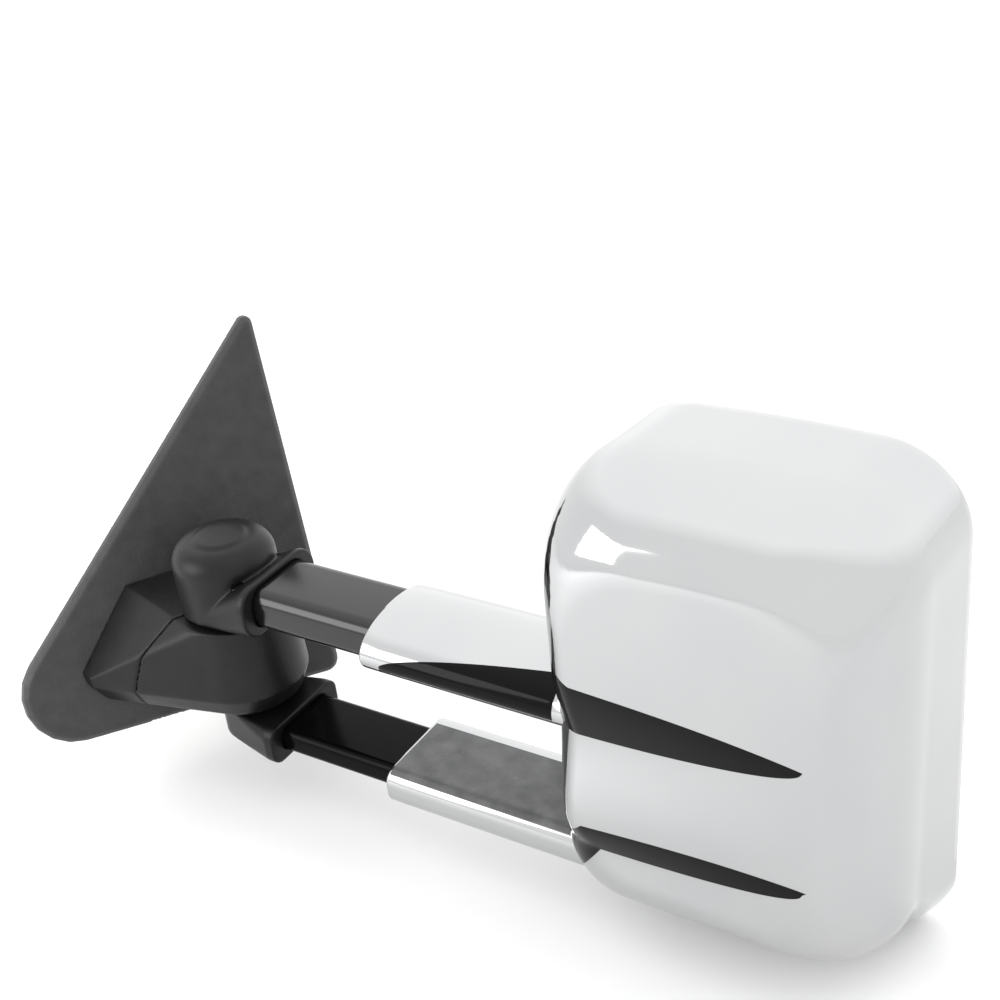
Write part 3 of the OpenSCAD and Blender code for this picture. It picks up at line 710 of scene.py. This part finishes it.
moulding("door_plate", "sail_plate", "base", "textured_plastic", 0.9, 3, "plate_grain")
moulding("hinge_housing", "base_housing", "base", "textured_plastic")
moulding("drum_cover", "hinge_drum_cover", "base", "textured_plastic")
moulding("dome_and_collar", "upper_socket", "arms", "textured_plastic", 0.8, 8)
moulding("lower_blade", "lower_socket", "arms", "socket_plastic")
moulding("bezel_frame", "glass_bezel", "head", "bezel_plastic", 0.7, 3, "bezel_gloss")
moulding("bracket_casting", "mount_bracket", "base", "die_cast", 0.7, 3)


# ------------------------------------------------------------------ threads of the mounting studs
def thread(name, start, end, r, pitch=1.0, per=20):
    """A screw thread along a line, as one helical ridge that fades in and out over a turn."""
    axis = (end - start).normalized()
    side = axis.orthogonal().normalized()
    across = axis.cross(side)
    turns = (end - start).length / pitch
    rings = []
    count = int(turns * per)
    for k in range(count + 1):
        a = 2 * math.pi * k / per
        out = side * math.cos(a) + across * math.sin(a)
        along = start + axis * (pitch * k / per)
        grow = min(1.0, k / per, (count - k) / per)
        rings.append([tuple(along + out * (r - 0.42) - axis * 0.45 * pitch * grow),
                      tuple(along + out * (r - 0.42 + 0.46 * grow)),
                      tuple(along + out * (r - 0.42) + axis * 0.45 * pitch * grow)])
    points, faces = loft(rings)
    build(name, points, faces, "base", "zinc_stud", sharp=50)


def studs():
    """Each stud keeps its CAD solid's place: a root rod inside a rolled thread, and a plain head."""
    for mount in frame["record"]["mounts"]:
        if mount["kind"] != "pin":
            continue
        node = mount["name"].replace("_end", "")
        axis = Vector(mount["axis"])
        middle = (Vector(mount["pos_m"]) - PIVOT) / MM
        length, r = mount["dims"]["length_mm"], mount["dims"]["r_mm"]
        root, tip = middle - axis * length / 2, middle + axis * (length / 2 + 0.8)
        side = axis.orthogonal().normalized()
        across = axis.cross(side)
        profile = [(-17, 5), (-14.2, 5), (-14, 4.8), (-14, r + 0.6), (-0.3, r + 0.6), (0, r), (0.4, r - 0.4),
                   (length - 0.6, r - 0.4), (length + 0.2, r - 1.0), (length + 0.8, r - 1.2)]
        rings = [[tuple(root + axis * a + (side * math.cos(t) + across * math.sin(t)) * b)
                  for t in (2 * math.pi * k / 40 for k in range(40))] for a, b in profile]
        points, faces = loft(rings)
        build(node + "_rod", points, faces, "base", "zinc_stud", [node], sharp=30)
        thread(node + "_thread", root + axis * 0.5, tip - axis * 1.2, r)


studs()


# ------------------------------------------------------------------ camera, floor and light
AZIMUTH, ELEVATION, ROLL = 215.266, 29.404, -6.698
DISTANCE = 792.8
AIM = Vector((-200, -0.55, 122.0))
LENS = 57.606


def add_camera():
    a, e, r = (math.radians(v) for v in (AZIMUTH, ELEVATION, ROLL))
    back = Vector((math.sin(a) * math.cos(e), -math.cos(a) * math.cos(e), math.sin(e)))
    right = (-back).cross(Vector((0, 0, 1))).normalized()
    up = right.cross(-back)
    right, up = right * math.cos(r) + up * math.sin(r), up * math.cos(r) - right * math.sin(r)
    data = bpy.data.cameras.new("camera")
    data.lens, data.sensor_width = LENS, 36
    data.clip_start, data.clip_end = 0.02, 50
    cam = bpy.data.objects.new("camera", data)
    bpy.context.scene.collection.objects.link(cam)
    place = PIVOT + (AIM + back * DISTANCE) * MM
    cam.matrix_world = Matrix.Translation(place) @ Matrix((right, up, back)).transposed().to_4x4()
    bpy.context.scene.camera = cam


def area_light(name, place, aim, size, watts):
    data = bpy.data.lights.new(name, "AREA")
    data.shape, data.size, data.size_y = "RECTANGLE", size[0], size[1]
    data.energy = watts
    obj = bpy.data.objects.new(name, data)
    obj.location = place
    obj.rotation_mode = "QUATERNION"
    obj.rotation_quaternion = (Vector(aim) - Vector(place)).to_track_quat("-Z", "Y")
    bpy.context.scene.collection.objects.link(obj)


def add_floor():
    p = Paint("pale_floor", (0.86, 0.86, 0.86), 0.55)
    p.colour(p.noise(3, 2), [(0.3, (0.85, 0.85, 0.85)), (0.7, (0.875, 0.875, 0.875))])
    mesh = bpy.data.meshes.new("floor")
    n, radius = 96, 4.0
    mesh.from_pydata([(radius * math.cos(2 * math.pi * k / n), radius * math.sin(2 * math.pi * k / n),
                       cad_box[0].z - 0.0008) for k in range(n)], [], [tuple(range(n))])
    mesh.materials.append(p.mat)
    floor = bpy.data.objects.new("floor", mesh)
    bpy.context.scene.collection.objects.link(floor)


def add_world():
    world = bpy.data.worlds.new("studio")
    world.use_nodes = True
    tree = world.node_tree
    back = tree.nodes["Background"]
    coord = tree.nodes.new("ShaderNodeTexCoord")
    # the room is a little brighter overhead and behind the object than in front of it
    lean = tree.nodes.new("ShaderNodeVectorMath")
    lean.operation = "DOT_PRODUCT"
    lean.inputs[1].default_value = (0, -0.62, 0.78)
    ramp = tree.nodes.new("ShaderNodeValToRGB")
    shift = tree.nodes.new("ShaderNodeMapRange")
    shift.inputs["From Min"].default_value = -1
    tree.links.new(coord.outputs["Generated"], lean.inputs[0])
    tree.links.new(lean.outputs["Value"], shift.inputs["Value"])
    tree.links.new(shift.outputs["Result"], ramp.inputs["Fac"])
    stops = [(0.0, 1.1), (0.68, 1.1), (0.8, 1.34), (1.0, 1.34)]
    while len(ramp.color_ramp.elements) < len(stops):
        ramp.color_ramp.elements.new(0.5)
    for element, (place, v) in zip(ramp.color_ramp.elements, stops):
        element.position = place
        element.color = (v, v, v, 1)
    tree.links.new(ramp.outputs["Color"], back.inputs["Color"])
    back.inputs["Strength"].default_value = 1.25
    bpy.context.scene.world = world


add_camera()
add_floor()
add_world()
area_light("key_softbox", (0.75, 1.05, 0.62), (-0.07, 0.02, 0.0), (0.8, 0.8), 9)
bpy.context.scene.view_settings.view_transform = "Standard"
